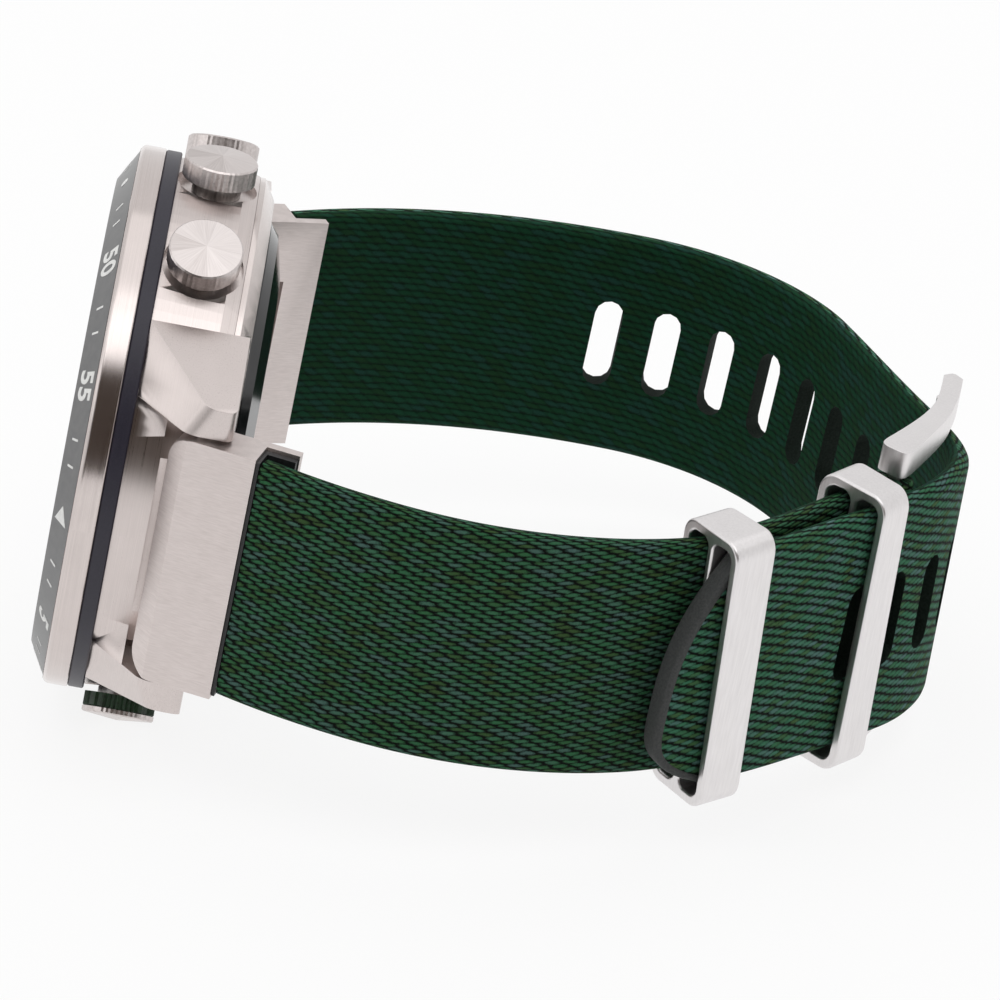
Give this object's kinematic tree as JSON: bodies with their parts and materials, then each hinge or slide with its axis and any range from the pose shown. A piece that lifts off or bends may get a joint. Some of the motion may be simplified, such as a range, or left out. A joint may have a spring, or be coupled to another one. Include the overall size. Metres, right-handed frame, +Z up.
{
  "type": "wrist watch",
  "caption": "Round metal wrist watch with a marked bezel, side pushers and a buckled woven strap, lying on its side.",
  "frame": {"origin": "bottom centre of the bounding box, on the surface the watch lies on", "axes": "+X from the dial towards the buckle, +Y from 12 o'clock to 6 o'clock, +Z up (towards 9 o'clock)"},
  "size_m": [0.0806, 0.0686, 0.048],
  "materials": {
    "titanium": "brushed satin",
    "pusher_metal": "radially brushed facets",
    "steel": "machined",
    "inlay_grey": "satin, white marks",
    "blue_black": "satin",
    "crystal_glass": "polished",
    "display_black": "gloss",
    "rear_glass": "gloss",
    "gold_contact": "plated",
    "board_green": "solder mask",
    "black_plastic": "moulded",
    "battery_foil": "foil",
    "black_rubber": "matte",
    "green_weave": "woven",
    "dark_binding": "matte",
    "green_accent": "anodised, knurled"
  },
  "bodies": {
    "watch": {"mid_case": "titanium", "bezel_ring": "titanium", "bezel_inlay": "inlay_grey", "isolating_ring": "blue_black", "crystal": "crystal_glass", "crystal_gasket": "black_rubber", "dial_flange": "display_black", "display_module": "display_black", "chassis": "black_plastic", "circuit_board": "board_green", "battery": "battery_foil", "motor": "steel", "rear_cover": "titanium", "rear_gasket": "black_rubber", "rear_screws": "steel", "rear_window": "rear_glass", "sensor_board": "board_green", "charge_contacts": "gold_contact", "pusher_sleeves": "steel", "pusher_springs": "steel", "near_link": "titanium", "far_link": "titanium", "near_liner": "black_plastic", "far_liner": "black_plastic", "lug_pins": "steel", "strap_bars": "steel", "short_strap": "green_weave", "long_strap": "green_weave", "tip_binding": "dark_binding", "buckle_pin": "titanium"},
    "pusher_up": {"cap_up": "pusher_metal", "stem_up": "steel"},
    "pusher_light": {"cap_light": "pusher_metal", "stem_light": "steel"},
    "pusher_down": {"cap_down": "pusher_metal", "stem_down": "steel"},
    "pusher_start": {"cap_start": "pusher_metal", "stem_start": "steel", "accent_ring": "green_accent"},
    "pusher_back": {"cap_back": "pusher_metal", "stem_back": "steel"},
    "near_latch": {"near_latch": "steel"},
    "far_latch": {"far_latch": "steel"},
    "keeper_near": {"keeper_near": "titanium"},
    "keeper_far": {"keeper_far": "titanium"},
    "buckle": {"buckle_frame": "titanium"},
    "tongue": {"buckle_tongue": "titanium"},
    "motor_weight": {"motor_weight": "steel"}
  },
  "joints": [
    {"name": "press_up", "type": "slide", "parent": "watch", "child": "pusher_up", "axis": [-0.1473, 0, -0.9891], "range_m": [0, 0.0008], "stiffness_N_per_m": 400, "springref_m": -0.004},
    {"name": "press_light", "type": "slide", "parent": "watch", "child": "pusher_light", "axis": [-0.1288, 0.4848, -0.8651], "range_m": [0, 0.0008], "stiffness_N_per_m": 400, "springref_m": -0.004},
    {"name": "press_down", "type": "slide", "parent": "watch", "child": "pusher_down", "axis": [-0.1288, -0.4848, -0.8651], "range_m": [0, 0.0008], "stiffness_N_per_m": 400, "springref_m": -0.004},
    {"name": "press_start", "type": "slide", "parent": "watch", "child": "pusher_start", "axis": [0.1288, 0.4848, 0.8651], "range_m": [0, 0.0008], "stiffness_N_per_m": 400, "springref_m": -0.004},
    {"name": "press_back", "type": "slide", "parent": "watch", "child": "pusher_back", "axis": [0.1288, -0.4848, 0.8651], "range_m": [0, 0.0008], "stiffness_N_per_m": 400, "springref_m": -0.004},
    {"name": "near_latch_slide", "type": "slide", "parent": "watch", "child": "near_latch", "axis": [0.9597, -0.2419, -0.1429], "range_m": [0, 0.0016], "stiffness_N_per_m": 300, "springref_m": -0.003},
    {"name": "far_latch_slide", "type": "slide", "parent": "watch", "child": "far_latch", "axis": [0.9171, 0.3746, -0.1366], "range_m": [0, 0.0016], "stiffness_N_per_m": 300, "springref_m": -0.003},
    {"name": "keeper_near_slide", "type": "slide", "parent": "watch", "child": "keeper_near", "axis": [0.8149, 0.5667, -0.1214], "range_m": [-0.0008, 0.0008]},
    {"name": "keeper_far_slide", "type": "slide", "parent": "watch", "child": "keeper_far", "axis": [0.6662, 0.7392, -0.0992], "range_m": [-0.002, 0.0003]},
    {"name": "buckle_hinge", "type": "hinge", "parent": "watch", "child": "buckle", "pos_m": [0.02992, -0.01262, 0.01427], "axis": [-0.1473, 0, -0.9891], "range_deg": [0, 2]},
    {"name": "tongue_hinge", "type": "hinge", "parent": "watch", "child": "tongue", "pos_m": [0.02992, -0.01262, 0.01427], "axis": [-0.1473, 0, -0.9891], "range_deg": [0, 2]},
    {"name": "motor_spin", "type": "hinge", "parent": "watch", "child": "motor_weight", "pos_m": [-0.02661, -0.00299, 0.03401], "axis": [0, 1, 0], "continuous": true}
  ],
  "couplings": [
    {"joint": "tongue_hinge", "follows": "buckle_hinge", "ratio": 1}
  ]
}
